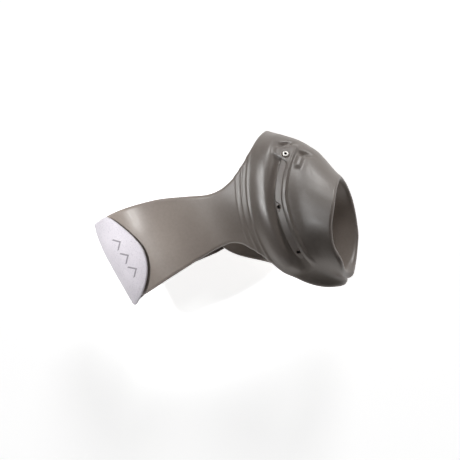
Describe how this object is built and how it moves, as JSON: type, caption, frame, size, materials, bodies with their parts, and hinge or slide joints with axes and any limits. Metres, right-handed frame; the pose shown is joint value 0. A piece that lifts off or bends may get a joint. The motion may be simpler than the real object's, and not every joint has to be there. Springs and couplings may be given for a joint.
{
  "type": "thumb base splint",
  "caption": "Moulded left-hand thumb-base splint: cuff round the thumb with a bendable metal stay, band across the palm and a strap closed by a hook-and-loop tab.",
  "frame": {"origin": "on the flat outer face of the strap run on the back of the hand, near the splint's middle", "axes": "+X towards the fingers, +Y towards the thumb side, +Z out of the palm; the splint lies palm side up on the back-of-hand strap at z = 0"},
  "size_m": [0.0712, 0.0954, 0.0509],
  "materials": {
    "elastomer": "satin moulded elastomer, warm grey",
    "stay_metal": "satin strip",
    "eyelet_metal": "bright",
    "loop_fabric": "brushed loop",
    "hook_tape": "moulded hooks",
    "white_fabric": "brushed knit, cool white",
    "elastic_web": "woven elastic"
  },
  "bodies": {
    "cuff": {"thumb_cuff": "elastomer", "malleable_stay": "stay_metal", "stay_eyelet_radial": "eyelet_metal", "stay_eyelet_middle": "eyelet_metal", "stay_eyelet_palmar": "eyelet_metal", "strap_dorsal_run": "elastic_web"},
    "palm_band": {"palmar_band": "elastomer", "loop_patch": "loop_fabric"},
    "strap": {"strap_ulnar_run": "elastic_web"},
    "tab": {"closure_tab": "white_fabric", "hook_patch": "hook_tape"}
  },
  "joints": [
    {"name": "tab_peel", "type": "hinge", "parent": "strap", "child": "tab", "pos_m": [-0.0085, -0.0464, 0.018], "axis": [0.9932, -0.1168, 0], "range_deg": [0, 110]},
    {"name": "strap_swing", "type": "hinge", "parent": "cuff", "child": "strap", "pos_m": [-0.0065, -0.028, 0], "axis": [1, 0, 0], "range_deg": [0, 38.6]},
    {"name": "palm_band_flex", "type": "hinge", "parent": "cuff", "child": "palm_band", "pos_m": [-0.00005, 0.00555, 0.0393], "axis": [-0.9046, 0.399, 0.1501], "range_deg": [0, 8.85]}
  ],
  "couplings": [
    {"joint": "strap_swing", "follows": "tab_peel", "ratio": 0.35},
    {"joint": "palm_band_flex", "follows": "tab_peel", "ratio": 0.08}
  ]
}
